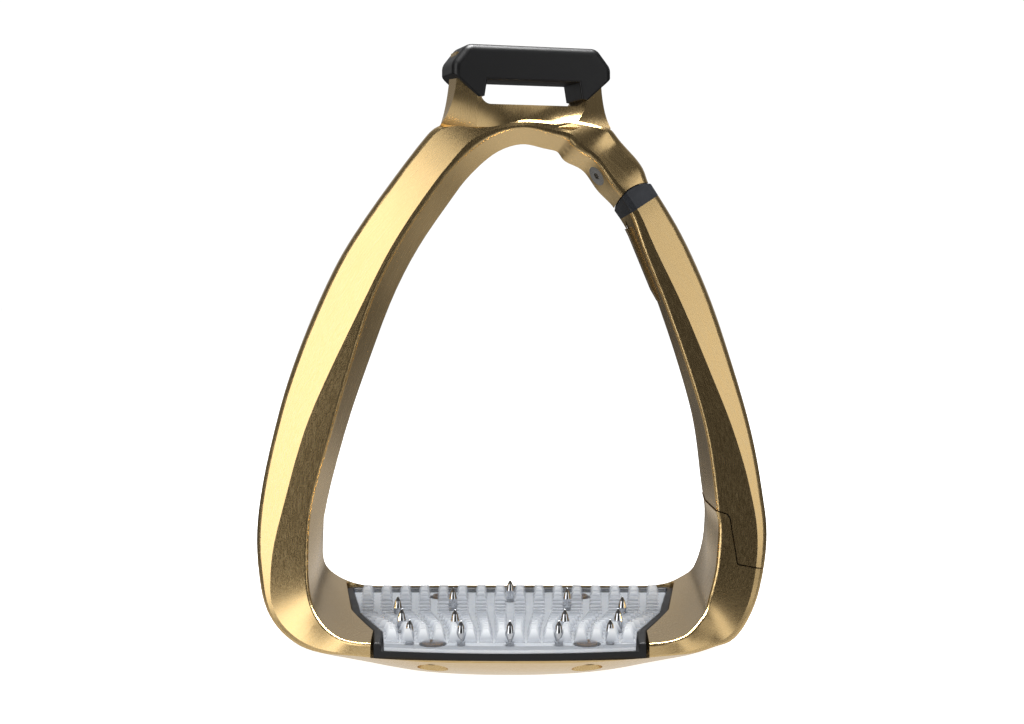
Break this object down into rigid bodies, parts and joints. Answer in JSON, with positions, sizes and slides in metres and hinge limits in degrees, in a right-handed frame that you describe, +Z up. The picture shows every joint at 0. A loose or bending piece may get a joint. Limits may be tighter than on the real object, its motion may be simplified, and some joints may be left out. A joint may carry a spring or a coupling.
{
  "type": "safety stirrup iron",
  "caption": "Safety stirrup iron: gold anodised aluminium frame, sprung outward-opening outer arm, black-sleeved turned leather eye, clear toothed tread with steel studs.",
  "frame": {"origin": "where the stirrup leather bears: centre of the flat underside of the sleeve round the eye bar", "axes": "+X across the foot towards the opening arm, +Y along the foot towards the heel side (the foot enters from -Y), +Z up along the hanging stirrup"},
  "size_m": [0.1521, 0.0785, 0.1886],
  "materials": {
    "gold_anodised": "brushed, satin anodised",
    "guard_black": "smooth moulded",
    "collar_black": "satin",
    "lug_steel": "ground",
    "screw_steel": "turned",
    "bearing_bronze": "turned",
    "spring_steel": "drawn wire",
    "pad_black": "matt moulded",
    "backing_white": "gloss",
    "tread_clear": "clear",
    "stud_bright": "bright"
  },
  "bodies": {
    "frame": {"frame": "gold_anodised", "eye_guard": "guard_black", "hinge_lug": "lug_steel", "lug_screw": "screw_steel", "pivot_bush": "bearing_bronze", "shock_pad": "pad_black", "tread_backing": "backing_white", "tread_plate": "tread_clear", "tread_studs": "stud_bright", "stud_nuts": "screw_steel", "tread_inserts": "bearing_bronze", "tread_screws": "screw_steel"},
    "arm": {"release_arm": "gold_anodised", "hinge_collar": "collar_black", "hinge_pin": "lug_steel", "return_spring": "spring_steel"},
    "plunger": {"cam_plunger": "lug_steel"}
  },
  "joints": [
    {"name": "arm_hinge", "type": "hinge", "parent": "frame", "child": "arm", "pos_m": [0.0368, 0, -0.041], "axis": [0, -1, 0], "range_deg": [0, 75], "stiffness_Nm_per_rad": 0.15, "springref_deg": -28.65},
    {"name": "plunger_slide", "type": "slide", "parent": "arm", "child": "plunger", "axis": [0.4067, 0, -0.9136], "range_m": [0, 0.0019], "deforming": ["return_spring"]}
  ],
  "couplings": [
    {"joint": "plunger_slide", "follows": "arm_hinge", "m_per_rad": 0.001375}
  ]
}
